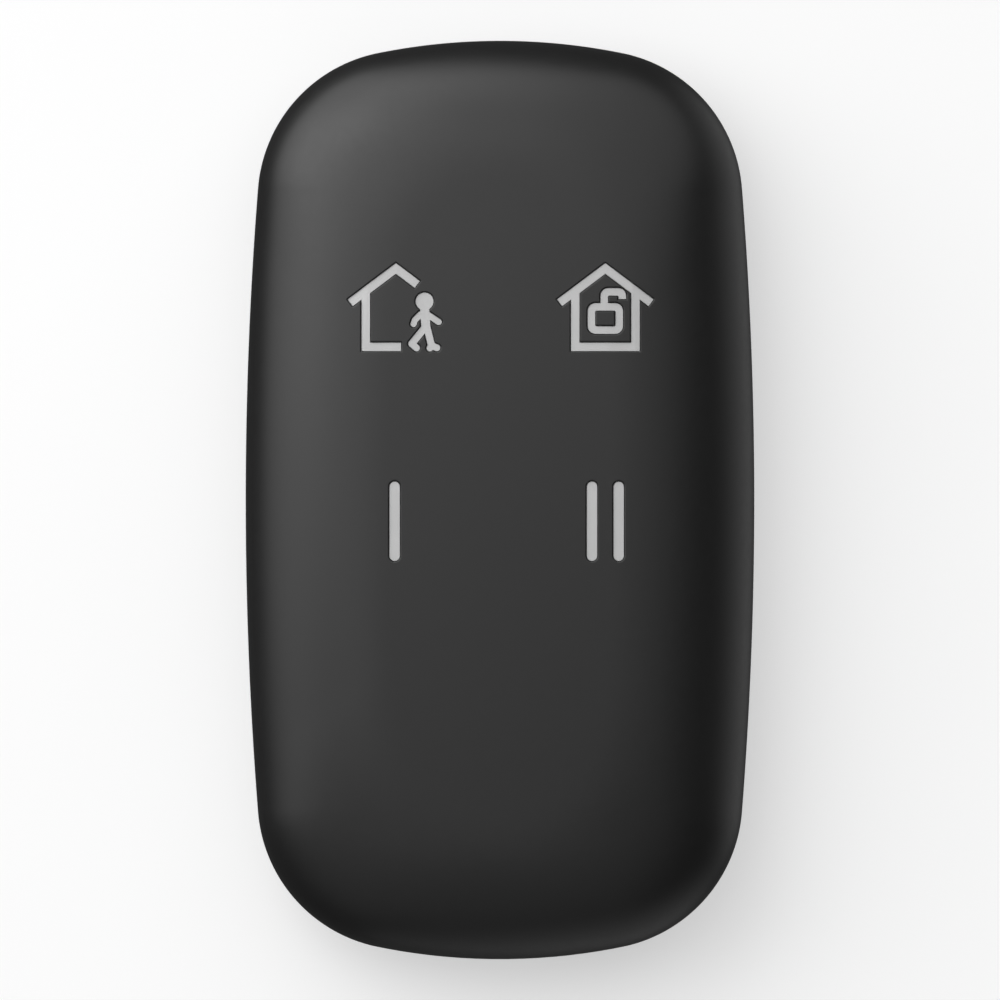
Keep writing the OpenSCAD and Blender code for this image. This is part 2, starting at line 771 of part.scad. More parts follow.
// Coin cell: the can below, its lid on top
module coin_cell() {
    lid_rise = 0.35;
    lid_step = 1.3;
    edge = 0.25;
    shoulder = cell_height - lid_rise;
    color("silver") at(cell_place, cell_z) rotate_extrude() polygon([
        [0, 0], [cell_radius - edge, 0], [cell_radius, edge], [cell_radius, shoulder - edge],
        [cell_radius - edge, shoulder], [cell_radius - lid_step, shoulder],
        [cell_radius - lid_step, cell_height], [0, cell_height]]);
}

module negative_contact() {
    foot = board_z - contact_sheet / 2;
    heel = cell_radius * 0.4;
    bend = cell_radius * 0.15;
    tip = -cell_radius * 0.25;
    curl = [-cell_radius * 0.11, cell_radius * 0.035];
    touch_point = [tip, cell_top + contact_sheet / 2];
    color("goldenrod") at(cell_place)
        strip([[heel, foot], [bend, foot], touch_point, touch_point + curl], contact_sheet, contact_width);
}

// Spring strip from the board down to the can's side, above the cap's collar
module positive_contact() {
    foot = board_z - contact_sheet / 2;
    heel = cell_radius * 0.19;
    bend = cell_radius * 0.08;
    lift = contact_sheet * 0.75;
    color("goldenrod") at(cell_place)
        strip([[cell_radius + heel, foot], [cell_radius + bend, foot],
            [cell_radius + contact_sheet / 2, collar_top + contact_sheet / 2 + lift]],
            contact_sheet, contact_width);
}

// A flat package on the board
module package(place, size) {
    at(place, board_top) translate([-size.x / 2, -size.y / 2, 0]) cube(size);
}

module microcontroller() {
    color("black") package(controller_place, [controller_width, controller_width, chip_height]);
}

module radio_chip() {
    color("black") package(radio_place, [radio_width, radio_width, chip_height]);
}

module crystal() {
    color("silver") package(crystal_place, [crystal_length, crystal_width, crystal_height]);
}

// Standing strip that follows the upper end of the board
module loop_antenna() {
    color("goldenrod") translate([0, 0, board_top]) linear_extrude(antenna_height) intersection() {
        difference() {
            plan(antenna_inset);
            plan(antenna_inset + antenna_width);
        }
        translate([-case_width / 2, antenna_from]) square([case_width, case_length]);
    }
}

module status_led() {
    color("white") package(lamp_place, [lamp_width, lamp_length, lamp_height]);
}

// A row above the radio chip and a row below the microcontroller
module capacitors() {
    size = [bit_width, bit_length, bit_width];
    reach = bit_gap + bit_length / 2;
    color("tan") for (i = [-1 : 1]) {
        package(radio_place + [i * bit_pitch, radio_width / 2 + reach], size);
        package(controller_place + [i * bit_pitch, -controller_width / 2 - reach], size);
    }
}

// A column on each side of the microcontroller
module resistors() {
    size = [bit_length, bit_width, resistor_height];
    reach = controller_width / 2 + bit_gap + bit_length / 2;
    color("dimgray") for (side = [-1, 1], i = [-1 : 1])
        package(controller_place + [side * reach, i * bit_pitch], size);
}

front_skin();
front_shell();
rear_shell();
battery_cap();
cap_seal();
keyring_pin();
case_screws();
key_pad(away_place) away_symbol();  // key_pad_away
key_pad(disarm_place) disarm_symbol();  // key_pad_disarm
key_pad(one_place) one_symbol();  // key_pad_one
key_pad(two_place) two_symbol();  // key_pad_two
key_insert(away_place) away_symbol();  // key_insert_away
key_insert(disarm_place) disarm_symbol();  // key_insert_disarm
key_insert(one_place) one_symbol();  // key_insert_one
key_insert(two_place) two_symbol();  // key_insert_two
switch_stem(away_place);  // switch_stem_away
switch_stem(disarm_place);  // switch_stem_disarm
switch_stem(one_place);  // switch_stem_one
switch_stem(two_place);  // switch_stem_two
switch_bodies();
switch_covers();
circuit_board();
coin_cell();
negative_contact();
positive_contact();
microcontroller();
radio_chip();
crystal();
loop_antenna();
status_led();
capacitors();
resistors();
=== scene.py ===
import json
import bpy
import numpy as np
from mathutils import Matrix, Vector


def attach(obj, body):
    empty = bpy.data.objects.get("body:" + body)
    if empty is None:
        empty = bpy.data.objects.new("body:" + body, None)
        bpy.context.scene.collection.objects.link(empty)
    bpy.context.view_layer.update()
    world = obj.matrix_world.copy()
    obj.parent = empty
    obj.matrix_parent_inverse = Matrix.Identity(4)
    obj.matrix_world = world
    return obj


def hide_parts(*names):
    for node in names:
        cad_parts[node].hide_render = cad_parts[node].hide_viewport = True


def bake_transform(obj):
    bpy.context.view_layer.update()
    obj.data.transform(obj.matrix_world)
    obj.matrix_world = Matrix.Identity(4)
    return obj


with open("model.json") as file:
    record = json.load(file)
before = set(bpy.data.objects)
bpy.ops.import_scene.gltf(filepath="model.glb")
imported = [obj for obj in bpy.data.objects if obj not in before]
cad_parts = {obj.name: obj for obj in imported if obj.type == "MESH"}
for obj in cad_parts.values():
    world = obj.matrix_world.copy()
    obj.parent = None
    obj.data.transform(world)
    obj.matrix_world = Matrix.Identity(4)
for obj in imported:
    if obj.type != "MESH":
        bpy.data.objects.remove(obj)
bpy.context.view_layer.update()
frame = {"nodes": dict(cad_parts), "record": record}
mm = 0.001  # shapes are worked out in millimetres, meshes are in metres
print("frame: loaded", len(frame["nodes"]), "nodes")

# the case's plan and its two rolled halves
caseForm = {
    "width": 36.0, "length": 65.0,  # at the parting line
    "sideRadius": 280.0, "endRadius": 43.5, "cornerRadius": 10.6,  # plan arcs
    "frontFoot": 5.2, "frontRise": 7.3, "frontEdge": 10.2,  # front half: foot, height and rolled width
    "rearTop": 5.0, "rearEdge": 5.0,  # rear half: its top and rolled width
    "edgePower": 2.4, "endPower": 3.2,  # fullness of the rolled edges, and of the front's at its ends
    "cornerBlend": 9.0,  # width over which the front's side and end run into each other
    "crownAcross": 0.5, "crownAlong": 1.1,  # fall of the front to its sides and ends
}


# a vector brought to length 1
def unit(v):
    return v / np.linalg.norm(v)


# cross product of plan vectors, above 0 where b is to the left of a
def cross2(a, b):
    return a[..., 0] * b[..., 1] - a[..., 1] * b[..., 0]


# the upper point at distance r from p and s from q
def circlesMeet(p, r, q, s):
    gap = np.linalg.norm(q - p)
    along = (r * r - s * s + gap * gap) / (2 * gap)
    ahead = (q - p) / gap
    return p + along * ahead + np.sqrt(r * r - along * along) * np.array([-ahead[1], ahead[0]])


sideCentre = np.array([caseForm["width"] / 2 - caseForm["sideRadius"], 0.0])
endCentre = np.array([0.0, caseForm["length"] / 2 - caseForm["endRadius"]])
cornerCentre = circlesMeet(
    sideCentre, caseForm["sideRadius"] - caseForm["cornerRadius"],
    endCentre, caseForm["endRadius"] - caseForm["cornerRadius"])


# distances of plan points inside the outline's side, end and corner arcs
def arcInsets(p):
    arcs = ((sideCentre, "sideRadius"), (endCentre, "endRadius"), (cornerCentre, "cornerRadius"))
    return [caseForm[radius] - np.linalg.norm(np.abs(p) - centre, axis=1) for centre, radius in arcs]


# distance of plan points inside the outline: that of the corner's arc within its sector,
# and elsewhere the lesser of the other two
def insetAt(p):
    side, end, corner = arcInsets(p)
    fromCorner = np.abs(p) - cornerCentre
    atCorner = (cross2(unit(cornerCentre - sideCentre), fromCorner) > 0) & (
        cross2(fromCorner, unit(cornerCentre - endCentre)) > 0)
    return np.where(atCorner, corner, np.minimum(side, end))


# 0 below 0 and 1 above 1, with a soft step between
def eased(t):
    t = np.clip(t, 0, 1)
    return t * t * (3 - 2 * t)


# slope of a field by small differences
def slopeOf(field, p, step=1e-4):
    across, along = np.array([step, 0]), np.array([0, step])
    ends = [field(p + across) - field(p - across), field(p + along) - field(p - along)]
    return np.stack(ends, 1) / (2 * step)


# rise of a rolled edge, the root of 1 - (1 - s)^power, from 0 at the rim to 1
def rolledEdge(share, power):
    return np.sqrt(1 - (1 - np.clip(share, 0, 1)) ** power)


# inset of the front's roll, and the end's share of it: the true inset at the rim, which further in turns
# into the lesser of those from the side and the end, less a parabola where the two are close, so that
# the roll's contours keep round corners
def rollInset(p):
    side, end, _ = arcInsets(p)
    inset, width = insetAt(p), caseForm["cornerBlend"]
    near = np.maximum(1 - np.abs(side - end) / width, 0)
    inner = np.minimum(side, end) - near ** 2 * width / 4
    atEnd = eased((side - end) / (2 * caseForm["cornerRadius"]) + 0.5)
    return inset + eased(inset / width) * (inner - inset), atEnd


# front face: the crown, a shallow bowl upside down, times the rolled edge's rise, which is fuller at the
# ends; with a wall, the face that lies this far inside it, level under its own edge
def frontLevel(p, wall):
    inset, atEnd = rollInset(p)
    power = caseForm["edgePower"] + atEnd * (caseForm["endPower"] - caseForm["edgePower"])
    fall = np.array([caseForm["crownAcross"], caseForm["crownAlong"]])
    half = np.array([caseForm["width"], caseForm["length"]]) / 2
    crown = caseForm["frontRise"] - wall - (fall * (p / half) ** 2).sum(1)
    rise = rolledEdge((inset - wall) / (caseForm["frontEdge"] - wall), power)
    return caseForm["frontFoot"] + crown * rise


# rear face: flat, rolling up to the parting line at its rim; with a wall, the face inside it
def rearLevel(p, wall):
    edge, depth = caseForm["rearEdge"] - wall, caseForm["rearTop"] - wall
    return caseForm["rearTop"] - depth * rolledEdge((insetAt(p) - wall) / edge, caseForm["edgePower"])


# the front's height and slope
def frontHeight(p, wall=0.0):
    return frontLevel(p, wall), slopeOf(lambda q: frontLevel(q, wall), p)


# the rear's height and slope
def rearHeight(p, wall=0.0):
    return rearLevel(p, wall), slopeOf(lambda q: rearLevel(q, wall), p)


# where the ray from the middle through each plan point meets the outline, by halving
def outlineRim(points, middle, reach=20.0, halvings=44):
    ray = points - middle
    low, high = np.ones(len(points)), np.full(len(points), reach)
    for _ in range(halvings):
        guess = (low + high) / 2
        inside = insetAt(middle + ray * guess[:, None]) > 0
        low, high = np.where(inside, guess, low), np.where(inside, high, guess)
    return middle + ray * high[:, None]


# lines from stop to stop, each stretch at its own spacing
def gradedLines(*stretches):
    lines = [np.linspace(a, b, int(np.ceil((b - a) / step)), endpoint=False)
             for a, b, step in stretches]
    return np.concatenate(lines + [[stretches[-1][1]]])


# a grid of lines xs by ys, and a band of rings from its border to the rim, closer near the rim
def planGrid(xs, ys, rimAt, rings):
    x, y = np.meshgrid(xs, ys, indexing="ij")
    zone = np.stack([x.ravel(), y.ravel()], 1)
    index = np.arange(x.size).reshape(x.shape)
    cells = [index[:-1, :-1], index[1:, :-1], index[1:, 1:], index[:-1, 1:]]
    border = np.concatenate([index[:-1, 0], index[-1, :-1], index[:0:-1, -1], index[0, :0:-1]])
    start = zone[border]
    share = 1 - (1 - np.arange(1, rings + 1) / rings) ** 2
    band = start + share[:, None, None] * (rimAt(start) - start)
    loops = x.size + np.arange(rings * len(border)).reshape(rings, -1)
    inner, outer = np.concatenate([border[None], loops[:-1]]), loops
    bands = [inner, outer, np.roll(outer, -1, 1), np.roll(inner, -1, 1)]
    quads = [np.stack(corners, -1).reshape(-1, 4) for corners in (cells, bands)]
    return np.concatenate([zone, band.reshape(-1, 2)]), np.concatenate(quads)


# moves the points nearest to each field's zero line onto it and splits the quads into triangles so that
# none crosses a line; the last result has a column for each field, true for the triangles inside it
def cutPlan(points, quads, fields, moves=4, leastSlope=0.3, onIt=1e-6):
    points = points.copy()
    sides = quads[:, [0, 1, 1, 2, 2, 3, 3, 0]].reshape(-1, 2)
    a, b = np.unique(np.sort(sides, axis=1), axis=0).T
    signs = []
    for field in fields:
        d = field(points)
        crossing = d[a] * d[b] < 0
        nearest = np.where(np.abs(d[a]) <= np.abs(d[b]), a, b)[crossing]
        onLine = np.zeros(len(points), bool)
        onLine[nearest] = True
        for _ in range(moves):
            p = points[onLine]
            g = slopeOf(field, p)
            points[onLine] = p - (field(p) / np.maximum((g * g).sum(1), leastSlope))[:, None] * g
        d = field(points)
        signs.append(np.where(onLine | (np.abs(d) < onIt), 0, np.sign(d)))
    otherWay = np.zeros(len(quads), bool)
    for sign in signs:
        otherWay |= sign[quads[:, 0]] * sign[quads[:, 2]] < 0
    first = np.where(otherWay[:, None], quads[:, [0, 1, 3]], quads[:, [0, 1, 2]])
    second = np.where(otherWay[:, None], quads[:, [1, 2, 3]], quads[:, [0, 2, 3]])
    triangles = np.concatenate([first, second])
    middles = points[triangles].mean(1)
    inside = []
    for field, sign in zip(fields, signs):
        total = sign[triangles].sum(1)
        inside.append(np.where(total == 0, field(middles) < 0, total < 0))
    return points, triangles, np.stack(inside, 1)


# drop and slope of a rounded edge at distance d from the line, a quarter circle short of its steep end
def roundedEdge(d, radius, steepest=0.9):
    t = np.clip(1 - d / radius, 0, steepest)
    root = np.sqrt(1 - t * t)
    return radius * (1 - root), -t / root


# raises each label's triangles to its level and joins the levels by upright walls;
# facing is 1 for a face that looks up and -1 for one that looks down
def raiseSheet(points, triangles, labels, levels, openLabels, fields, facing):
    count = len(levels)
    ends = triangles[:, [0, 1, 1, 2, 2, 0]].reshape(-1, 2)
    owner = np.repeat(labels, 3)
    key = ends.min(1) * len(points) + ends.max(1)
    order = np.lexsort((owner, key))
    first, second = order[:-1], order[1:]
    step = (key[first] == key[second]) & (owner[first] != owner[second])
    first, second = first[step], second[step]
    (a, b), outside, inside = ends[first].T, owner[first], owner[second]
    walls = np.stack([end * count + side for end, side in (
        (a, outside), (a, inside), (b, inside), (b, outside))], 1)
    shown = ~np.isin(labels, openLabels)
    faces = triangles[shown] * count + labels[shown][:, None]
    used, place = np.unique(np.concatenate([faces.ravel(), walls.ravel()]), return_inverse=True)
    at, level = used // count, used % count
    plan = points[at]
    z, slope = np.zeros(len(used)), np.zeros((len(used), 2))
    sideways = np.zeros((len(used), 2))
    for number, height in enumerate(levels):
        mine = level == number
        if mine.any():
            z[mine], slope[mine] = height(plan[mine])
    for number, field in enumerate(fields, 1):
        edge = np.unique(place[faces.size:].reshape(-1, 4)[inside == number])
        if len(edge):
            sideways[edge] = -slopeOf(field, plan[edge])
    normals = np.concatenate([-slope, np.ones((len(used), 1))], 1) * facing
    upright = np.concatenate([sideways, np.zeros((len(used), 1))], 1)
    faces = place[:faces.size].reshape(-1, 3)
    walls = place[faces.size:].reshape(-1, 4)
    wallFaces = np.concatenate([walls[:, [0, 1, 2]], walls[:, [0, 2, 3]]])
    corners = np.concatenate([normals[faces].reshape(-1, 3), upright[wallFaces].reshape(-1, 3)])
    return np.column_stack([plan, z]), np.concatenate([faces, wallFaces]), corners, facing


# one mesh from sheets of points, faces and corner normals; faces that look down are turned over,
# points that are the same to some decimals are joined, and faces that this leaves without width are dropped
def makePiece(name, sheets, decimals=5):
    points, faces, corners, start = [], [], [], 0
    for sheetPoints, sheetFaces, sheetCorners, facing in sheets:
        if facing < 0:
            sheetFaces = sheetFaces[:, ::-1]
            sheetCorners = sheetCorners.reshape(-1, 3, 3)[:, ::-1].reshape(-1, 3)
        points.append(sheetPoints)
        faces.append(sheetFaces + start)
        corners.append(sheetCorners)
        start += len(sheetPoints)
    points, place = np.unique(np.concatenate(points).round(decimals), axis=0, return_inverse=True)
    faces = place.ravel()[np.concatenate(faces)]
    whole = (faces != np.roll(faces, 1, 1)).all(1)
    faces = faces[whole]
    corners = np.concatenate(corners).reshape(-1, 3, 3)[whole].reshape(-1, 3)
    corners /= np.maximum(np.linalg.norm(corners, axis=1), 1e-9)[:, None]
    mesh = bpy.data.meshes.new(name)
    mesh.from_pydata(points * mm, [], faces.tolist(), shade_flat=False)
    mesh.normals_split_custom_set(corners.tolist())
    piece = bpy.data.objects.new(name, mesh)
    bpy.context.scene.collection.objects.link(piece)
    print("piece:", name, len(mesh.polygons), "faces")
    return piece


# fields of the key symbols and holes give the signed distance in millimetres, negative inside;
# this one is the distance to the line from a to b, less half the stroke's width
def strokeField(p, a, b, width):
    a, b = np.asarray(a, float), np.asarray(b, float)
    t = np.clip((p - a) @ (b - a) / ((b - a) @ (b - a)), 0, 1)
    return np.linalg.norm(p - a - t[:, None] * (b - a), axis=1) - width / 2


# distance to the middle, less the radius
def discField(p, middle, radius):
    return np.linalg.norm(p - np.asarray(middle, float), axis=1) - radius


# distance to a box that is smaller by the corner radius, less this radius; inside it, to the nearest side
def boxField(p, low, high, corner=0.0):
    low, high = np.asarray(low, float), np.asarray(high, float)
    q = np.abs(p - (low + high) / 2) - (high - low) / 2 + corner
    return np.linalg.norm(np.maximum(q, 0), axis=1) + np.minimum(q.max(1), 0) - corner


# distance to a closed line of corners, negative where a level ray crosses it an odd number of times
def shapeField(p, corners):
    corners = np.asarray(corners, float)
    nearest, inside = np.full(len(p), np.inf), np.zeros(len(p), bool)
    for a, b in zip(corners, np.roll(corners, -1, 0)):
        nearest = np.minimum(nearest, strokeField(p, a, b, 0))
        spans = (a[1] > p[:, 1]) != (b[1] > p[:, 1])
        rise = b[1] - a[1] if b[1] != a[1] else 1.0
        inside ^= spans & (p[:, 0] < a[0] + (b[0] - a[0]) * (p[:, 1] - a[1]) / rise)
    return np.where(inside, -nearest, nearest)


# what is inside any of the fields: the least of them
def joined(*fields):
    return np.min(fields, axis=0)


# what is inside the field and no cut: the greatest of the field and the cuts turned inside out
def without(field, *cuts):
    return np.max([field] + [-cut for cut in cuts], axis=0)


houseForm = {
    "height": 6.2, "width": 4.84, "roof": 6.8, "pitch": 36.9, "line": 0.59,
    # the left house's place, and the reach of its roof and floor past its ridge
    "openShift": 0.09, "openRoof": 1.68, "openFloor": 0.36,
}


# a bent roof band at the pitch, and walls and floor of straight bars; a floor that ends short leaves
# the right wall off
def houseField(p, left, right, floorRight):
    top, line, half = houseForm["height"] / 2, houseForm["line"], houseForm["width"] / 2
    pitch = np.radians(houseForm["pitch"])
    slope, eave = np.tan(pitch), line * np.array([np.sin(pitch), -np.cos(pitch)])
    leftEave = np.array([-left, top - left * slope])
    rightEave = np.array([right, top - right * slope])
    roof = shapeField(p, [
        [0, top], leftEave, leftEave + eave, [0, top - line / np.cos(pitch)],
        rightEave + eave * [-1, 1], rightEave])
    wallTop = top - half * slope - line / 2
    house = joined(roof, boxField(p, [-half, -top], [line - half, wallTop]),
                   boxField(p, [-half, -top], [floorRight, line - top]))
    if floorRight == half:
        house = joined(house, boxField(p, [half - line, -top], [half, wallTop]))
    return house


figureForm = {
    "height": 4.06, "head": 1.25, "trunk": 0.64, "arm": 0.43, "leg": 0.5, "foot": 0.475,
    "place": (2.11, 0.402),  # middle of the head, from the key's middle
    "neck": (0, -0.123), "hips": ((0.005, -0.456), (0.04, -0.44)),  # shares of its height
    "shoulders": ((-0.074, -0.227), (0.059, -0.232)), "elbow": (-0.17, -0.325),
    "hands": ((-0.19, -0.392), (0.246, -0.357)), "heels": ((-0.222, -0.735), (0.12, -0.765)),
    "leftToe": (-0.139, -0.808), "rightSole": (0.093, -0.81), "rightToe": (0.216, -0.805),
}


# a disc as head, and strokes from joint to joint as trunk, arms, legs and feet
def figureField(p):
    spot = {name: figureForm["height"] * np.array(share) for name, share in figureForm.items()
            if isinstance(share, tuple) and name != "place"}
    arm, leg, foot = figureForm["arm"], figureForm["leg"], figureForm["foot"]
    lines = (
        (spot["neck"], spot["hips"].mean(0), figureForm["trunk"]),
        (spot["shoulders"][0], spot["elbow"], arm), (spot["elbow"], spot["hands"][0], arm),
        (spot["shoulders"][1], spot["hands"][1], arm),
        (spot["hips"][0], spot["heels"][0], leg), (spot["hips"][1], spot["heels"][1], leg),
        (spot["heels"][0], spot["leftToe"], foot), (spot["heels"][1], spot["rightSole"], foot),
        (spot["heels"][1], spot["rightToe"], foot))
    p = p - figureForm["place"]
    head = discField(p, (0, 0), figureForm["head"] / 2)
    return joined(head, *(strokeField(p, *line) for line in lines))


lockForm = {
    "width": 2.48, "height": 2.16, "line": 0.52, "place": (0.0, -0.8),
    "corner": 0.54, "inner": 0.12,  # outer and inner corner radius
    "bowWidth": 1.8, "bowRise": 1.06, "bowLeg": 0.77, "bowShift": 0.56,
}


# a round-cornered frame, and above it the upper part of a narrower one with its right leg cut short
def lockField(p):
    line, corner, inner = lockForm["line"], lockForm["corner"], lockForm["inner"]
    half = np.array([lockForm["width"], lockForm["height"]]) / 2
    p = p - lockForm["place"]
    body = without(boxField(p, -half, half, corner), boxField(p, line - half, half - line, inner))
    p = p - [lockForm["bowShift"], half[1]]
    wide, rise = lockForm["bowWidth"], lockForm["bowRise"]
    reach = np.array([wide / 2, rise])
    bow = without(
        boxField(p, -reach, reach, corner), boxField(p, line - reach, reach - line, inner),
        boxField(p, [-wide, -2 * rise], [wide, -line / 2]),
        boxField(p, [0, -rise], [wide, rise - lockForm["bowLeg"]]))
    return joined(body, bow)


barForm = {"length": 5.6, "width": 0.72, "pitch": 1.88}


# an upright stroke at x
def barField(p, x):
    reach = (barForm["length"] - barForm["width"]) / 2
    return strokeField(p, (x, -reach), (x, reach), barForm["width"])


# house and walking figure
def awaySymbol(p):
    house = houseField(p - [houseForm["openShift"], 0], houseForm["roof"] / 2,
                       houseForm["openRoof"], houseForm["openFloor"])
    return joined(house, figureField(p))


# house and open padlock
def disarmSymbol(p):
    half = houseForm["roof"] / 2
    return joined(houseField(p, half, half, houseForm["width"] / 2), lockField(p))


# one bar in the middle
def oneSymbol(p):
    return barField(p, 0)


# two bars, half their pitch to each side
def twoSymbol(p):
    return joined(barField(p, -barForm["pitch"] / 2), barField(p, barForm["pitch"] / 2))


# a shader with its noise on the piece's own coordinates, sizes in millimetres
class Finish:
    low, high = 0.3, 0.7  # nearly all of a noise lies between these

    def __init__(self, name, colour, roughness, metallic=0.0):
        self.material = bpy.data.materials.new(name)
        self.material.use_nodes = True
        self.nodes, self.links = self.material.node_tree.nodes, self.material.node_tree.links
        self.shader = self.nodes["Principled BSDF"]
        self.colour, self.roughness = colour, roughness
        self.shader.inputs["Base Color"].default_value = (*colour, 1)
        self.shader.inputs["Roughness"].default_value = roughness
        self.shader.inputs["Metallic"].default_value = metallic
        self.coords = self.nodes.new("ShaderNodeTexCoord").outputs["Object"]

    def noise(self, size, detail, stretch=None):
        coords = self.coords
        if stretch:
            mapping = self.nodes.new("ShaderNodeMapping")
            mapping.inputs["Scale"].default_value = stretch
            self.links.new(coords, mapping.inputs["Vector"])
            coords = mapping.outputs["Vector"]
        noise = self.nodes.new("ShaderNodeTexNoise")
        noise.inputs["Scale"].default_value = 1 / (size * mm)
        noise.inputs["Detail"].default_value = detail
        self.links.new(coords, noise.inputs["Vector"])
        return noise.outputs["Fac"]

    def ramp(self, factor, stops):  # runs between two colours
        ramp = self.nodes.new("ShaderNodeValToRGB")
        for element, (place, colour) in zip(ramp.color_ramp.elements, stops):
            element.position, element.color = place, (*colour, 1)
        self.links.new(factor, ramp.inputs["Fac"])
        return ramp.outputs["Color"]

    def mottle(self, size, spread, stretch=None):  # colour that wanders by a share of itself
        dark, light = (tuple(c * (1 + side * spread) for c in self.colour) for side in (-1, 1))
        stops = ((self.low, dark), (self.high, light))
        shade = self.ramp(self.noise(size, detail=4.0, stretch=stretch), stops)
        self.links.new(shade, self.shader.inputs["Base Color"])
        return self

    def polish(self, size, spread, stretch=None):  # roughness that wanders
        span = self.nodes.new("ShaderNodeMapRange")
        span.inputs["From Min"].default_value = self.low
        span.inputs["From Max"].default_value = self.high
        span.inputs["To Min"].default_value = self.roughness - spread
        span.inputs["To Max"].default_value = self.roughness + spread
        self.links.new(self.noise(size, detail=3.0, stretch=stretch), span.inputs["Value"])
        self.links.new(span.outputs["Result"], self.shader.inputs["Roughness"])
        return self

    def grain(self, size, depth, strength, stretch=None):  # moulded or ground texture
        bump = self.nodes.new("ShaderNodeBump")
        bump.inputs["Distance"].default_value = depth * mm
        bump.inputs["Strength"].default_value = strength
        self.links.new(self.noise(size, detail=2.0, stretch=stretch), bump.inputs["Height"])
        self.links.new(bump.outputs["Normal"], self.shader.inputs["Normal"])
        return self


# colour, roughness and metal, then the size and spread of the colour's wander and of the roughness's, and
# the grain's size, depth and strength, lengths in millimetres; a last triple stretches all three along
# ground or rolled lines
finishForm = {
    "soft_skin": ((0.006, 0.006, 0.006), 0.38, 0, (9, 0.05), (0.5, 0.02), (0.09, 0.004, 0.25)),
    "inner_plastic": ((0.01, 0.01, 0.01), 0.5, 0, (3, 0.08), (0.6, 0.03), (0.2, 0.01, 1)),
    "rear_plastic": ((0.0095, 0.0095, 0.0095), 0.46, 0, (6, 0.06), (0.4, 0.04), (0.16, 0.012, 0.6)),
    "seal_rubber": ((0.01, 0.01, 0.01), 0.6, 0, (2, 0.1), (0.5, 0.04), (0.3, 0.01, 1)),
    "pin_steel": ((0.56, 0.56, 0.57), 0.26, 1, (0.3, 0.05), (0.2, 0.06), (0.05, 0.002, 0.4), (0.06, 1, 1)),
    "screw_steel": ((0.36, 0.36, 0.37), 0.34, 1, (0.6, 0.12), (0.3, 0.06), (0.12, 0.003, 0.5)),
    "symbol_plastic": ((0.455, 0.455, 0.455), 0.5, 0, (2.5, 0.03), (0.4, 0.04), (0.08, 0.003, 0.3)),
    "switch_plastic": ((0.018, 0.018, 0.018), 0.45, 0, (1, 0.1), (0.3, 0.04), (0.15, 0.006, 1)),
    "tin_steel": ((0.62, 0.62, 0.61), 0.3, 1, (0.8, 0.06), (0.4, 0.08), (0.2, 0.003, 0.5), (1, 0.1, 1)),
    "board": ((0.012, 0.085, 0.035), 0.3, 0, (1.4, 0.35), (0.8, 0.05), (0.9, 0.02, 0.5)),
    "cell_steel": ((0.64, 0.63, 0.61), 0.25, 1, (1.5, 0.05), (0.3, 0.07), (0.1, 0.002, 0.5), (1, 0.08, 1)),
    "contact_brass": ((0.78, 0.58, 0.25), 0.24, 1, (1, 0.06), (0.3, 0.06), (0.15, 0.002, 0.5), (1, 0.1, 1)),
    "chip_plastic": ((0.02, 0.02, 0.021), 0.5, 0, (0.5, 0.15), (0.3, 0.04), (0.08, 0.006, 1)),
    "lamp_plastic": ((0.74, 0.74, 0.68), 0.2, 0, (0.8, 0.05), (0.3, 0.05), (0.3, 0.002, 0.5)),
    "capacitor_ceramic": ((0.34, 0.24, 0.15), 0.42, 0, (0.4, 0.12), (0.2, 0.05), (0.1, 0.004, 1)),
}
finishes = {}
for slot, (colour, roughness, metallic, mottle, polish, grain, *stretch) in finishForm.items():
    finish = Finish(slot + "_finish", colour, roughness, metallic)
    finishes[slot] = finish.mottle(*mottle, *stretch).polish(*polish, *stretch).grain(*grain, *stretch)
for sub in frame["record"]["subparts"]:
    slots = frame["nodes"][sub["node"]].data.materials
    slots.clear()
    slots.append(finishes[sub["material_slot"]].material)
print("finishes:", len(finishes))


# gives a new piece its finish and its slot
def dress(piece, slot):
    piece.data.materials.append(finishes[slot].material)


# front skin: one soft moulding, with the zone round each key as a piece of its own
skinForm = {
    "fine": 0.055, "wide": 0.45,  # grid spacing at the symbols and between them
    "middle": (0.0, 6.05), "field": (14.6, 15.15),  # the grid's middle and reach
    "symbol": (3.8, 3.5),  # reach of the fine lines round a key's middle
    "rings": 30,  # from the grid to the rim
    "wall": 0.95,
    "seat": 0.05,  # dark gap between a cut and the pale insert that stands in it
    "edge": 0.07,  # rounding of the cuts' edges
    "zone": 6.77,  # half the width of a key's piece
    "pressed": 4.6, "still": 6.6,  # radii inside which the skin follows its key, and outside which it stays
}
keys = {
    "away": ((-7.43, 13.6), awaySymbol), "disarm": ((7.43, 13.6), disarmSymbol),
    "one": ((-7.43, -1.5), oneSymbol), "two": ((7.43, -1.5), twoSymbol),
}


# the square that a key's piece takes up
def zoneAt(place):
    low, high = np.array(place) - skinForm["zone"], np.array(place) + skinForm["zone"]
    return lambda p: boxField(p, low, high)


# a key's cut: its symbol, wider by the seat
def symbolAt(place, symbol):
    return lambda p: symbol(p - place) - skinForm["seat"]


